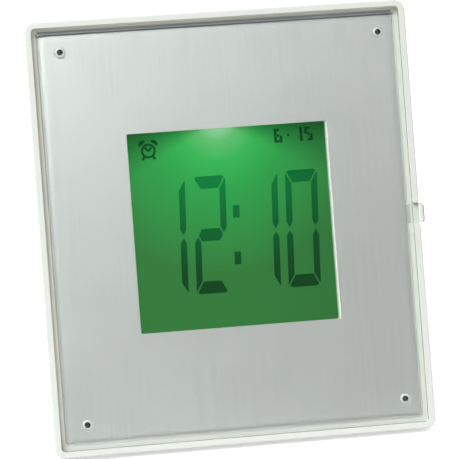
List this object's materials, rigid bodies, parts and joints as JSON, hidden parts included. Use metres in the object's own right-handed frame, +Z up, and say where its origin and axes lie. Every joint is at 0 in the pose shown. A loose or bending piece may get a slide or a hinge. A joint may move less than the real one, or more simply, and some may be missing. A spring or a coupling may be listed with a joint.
{
  "type": "photo frame clock",
  "caption": "Desk clock in a photo frame: white case leaning on a fold-out leg, bevelled pull-off clear cover, silver card with a square window and a green-lit digital display.",
  "frame": {"origin": "middle of the flat base under the case, on the table that the clock stands on", "axes": "+Z up from the table, +X to the viewer's right, +Y from the face to the back; the face looks towards -Y and leans back"},
  "size_m": [0.1012, 0.0569, 0.1107],
  "materials": {
    "white_case": "satin moulded white plastic",
    "clear_acrylic": "polished clear acrylic",
    "silver_card": "satin silver",
    "display_glass": "green lit liquid-crystal cell",
    "display_bars": "dark green display bars",
    "frosted_acrylic": "frosted light guide",
    "white_sheet": "matt white sheet",
    "green_lamp": "clear green lamp body",
    "contact_rubber": "matt layered rubber",
    "board_laminate": "green lacquered laminate",
    "black_resin": "glossy black resin",
    "plated_steel": "nickel plated steel",
    "switch_body": "matt black plastic",
    "grey_key": "satin grey plastic",
    "buzzer_brass": "rolled brass disc",
    "lead_cover": "red wire cover",
    "cell_jacket": "plain dark cell jacket"
  },
  "bodies": {
    "case": {"front_case": "white_case", "rear_cover": "white_case", "insert_card": "silver_card", "display_glass": "display_glass", "display_segments": "display_bars", "display_frame": "white_case", "light_guide": "frosted_acrylic", "reflector_sheet": "white_sheet", "backlight_lamp": "green_lamp", "contact_strip": "contact_rubber", "circuit_board": "board_laminate", "chip_blob": "black_resin", "quartz_crystal": "plated_steel", "board_screws": "plated_steel", "key_switches": "switch_body", "alarm_switch": "switch_body", "buzzer": "buzzer_brass", "buzzer_leads": "lead_cover", "battery_contacts": "plated_steel", "contact_springs": "plated_steel", "battery_leads": "lead_cover", "hinge_pin": "plated_steel", "case_screws": "plated_steel", "upper_cell": "cell_jacket", "lower_cell": "cell_jacket"},
    "cover": {"clear_cover": "clear_acrylic"},
    "leg": {"stand_leg": "white_case"},
    "door": {"battery_door": "white_case"},
    "slider": {"alarm_slider": "grey_key"},
    "mode": {"mode_key": "grey_key"},
    "set": {"set_key": "grey_key"},
    "up": {"up_key": "grey_key"},
    "down": {"down_key": "grey_key"},
    "light": {"light_key": "grey_key"}
  },
  "joints": [
    {"name": "cover_pull", "type": "slide", "parent": "case", "child": "cover", "axis": [0, -0.9659, 0.2588], "range_m": [0, 0.03]},
    {"name": "leg_fold", "type": "hinge", "parent": "case", "child": "leg", "pos_m": [0, 0.02604, 0.06919], "axis": [1, 0, 0], "range_deg": [-25, 0]},
    {"name": "door_slide", "type": "slide", "parent": "case", "child": "door", "axis": [0, 0.2588, 0.9659], "range_m": [0, 0.03]},
    {"name": "alarm_slide", "type": "slide", "parent": "case", "child": "slider", "axis": [0, 0.2588, 0.9659], "range_m": [0, 0.004]},
    {"name": "mode_press", "type": "slide", "parent": "case", "child": "mode", "axis": [0, -0.9659, 0.2588], "range_m": [0, 0.0006], "stiffness_N_per_m": 800},
    {"name": "set_press", "type": "slide", "parent": "case", "child": "set", "axis": [0, -0.9659, 0.2588], "range_m": [0, 0.0006], "stiffness_N_per_m": 800},
    {"name": "up_press", "type": "slide", "parent": "case", "child": "up", "axis": [0, -0.9659, 0.2588], "range_m": [0, 0.0006], "stiffness_N_per_m": 800},
    {"name": "down_press", "type": "slide", "parent": "case", "child": "down", "axis": [0, -0.9659, 0.2588], "range_m": [0, 0.0006], "stiffness_N_per_m": 800},
    {"name": "light_press", "type": "slide", "parent": "case", "child": "light", "axis": [0, -0.9659, 0.2588], "range_m": [0, 0.0006], "stiffness_N_per_m": 800}
  ]
}
